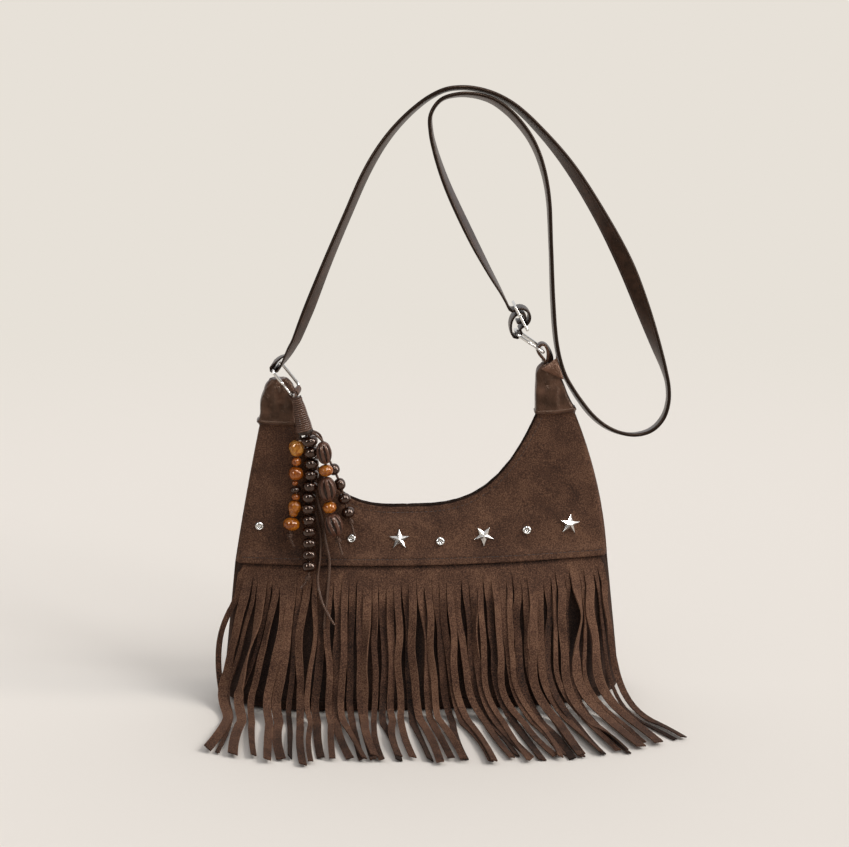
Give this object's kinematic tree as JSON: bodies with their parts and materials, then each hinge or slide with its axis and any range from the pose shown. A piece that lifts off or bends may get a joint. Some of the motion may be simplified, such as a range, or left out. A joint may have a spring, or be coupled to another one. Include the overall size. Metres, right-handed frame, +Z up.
{
  "type": "fringed shoulder bag",
  "caption": "Fringed brown suede shoulder bag with leather-capped horns, a long flat leather strap on gate rings, star and round studs and a beaded charm",
  "frame": {"origin": "the middle of the base's flat bottom, on the surface that the bag stands on", "axes": "+Z up, -Y out of the studded front, +X to the side of the strap's hanging arc"},
  "size_m": [0.3523, 0.1877, 0.4684],
  "materials": {
    "suede": "matt napped suede, mottled reddish brown",
    "leather": "smooth dark brown leather with a satin shine",
    "steel": "polished silver-coloured metal",
    "thong": "waxed dark brown cord",
    "amber": "glossy translucent amber resin",
    "orange_brown": "glossy orange-brown resin",
    "black_brown": "glossy black-brown resin",
    "carved_wood": "carved dark wood, lightly polished"
  },
  "bodies": {
    "root": {"back_panel": "suede", "base_panel": "suede", "charm_loop": "thong", "fringe": "suede", "front_panel": "suede", "front_yoke": "suede", "left_cap": "leather", "left_ring": "steel", "left_tab": "leather", "right_cap": "leather", "right_ring": "steel", "right_tab": "leather", "slider": "steel", "snap_back": "steel", "snap_front": "steel", "star_1": "steel", "star_2": "steel", "star_3": "steel", "strap": "leather", "stud_1": "steel", "stud_2": "steel", "stud_3": "steel", "stud_4": "steel"},
    "left_gate": {"left_gate": "steel"},
    "right_gate": {"right_gate": "steel"},
    "charm": {"bead_a1": "amber", "bead_a2": "orange_brown", "bead_a3": "orange_brown", "bead_a4": "black_brown", "bead_a5": "amber", "bead_a6": "amber", "bead_b1": "black_brown", "bead_b10": "black_brown", "bead_b11": "black_brown", "bead_b12": "black_brown", "bead_b2": "black_brown", "bead_b3": "black_brown", "bead_b4": "black_brown", "bead_b5": "black_brown", "bead_b6": "black_brown", "bead_b7": "black_brown", "bead_b8": "black_brown", "bead_b9": "black_brown", "bead_c1": "carved_wood", "bead_c2": "amber", "bead_c3": "carved_wood", "bead_c4": "amber", "bead_c5": "carved_wood", "bead_d1": "black_brown", "bead_d2": "black_brown", "bead_d3": "black_brown", "bead_d4": "black_brown", "charm_wrap": "thong", "strand_a": "thong", "strand_b": "thong", "strand_c": "thong", "strand_d": "thong", "tail_1": "thong", "tail_2": "thong"}
  },
  "joints": [
    {"name": "left_gate", "type": "hinge", "parent": "root", "child": "left_gate", "pos_m": [-0.09914, -0.00874, 0.24348], "axis": [-0.7505, 0.342, -0.5655], "range_deg": [0, 25], "stiffness_Nm_per_rad": 0.01},
    {"name": "right_gate", "type": "hinge", "parent": "root", "child": "right_gate", "pos_m": [0.08619, -0.0093, 0.273], "axis": [-0.5878, 0, -0.809], "range_deg": [0, 25], "stiffness_Nm_per_rad": 0.01},
    {"name": "charm_swing", "type": "hinge", "parent": "root", "child": "charm", "pos_m": [-0.0925, -0.0145, 0.2375], "axis": [-1, 0, 0], "range_deg": [0, 60]}
  ]
}
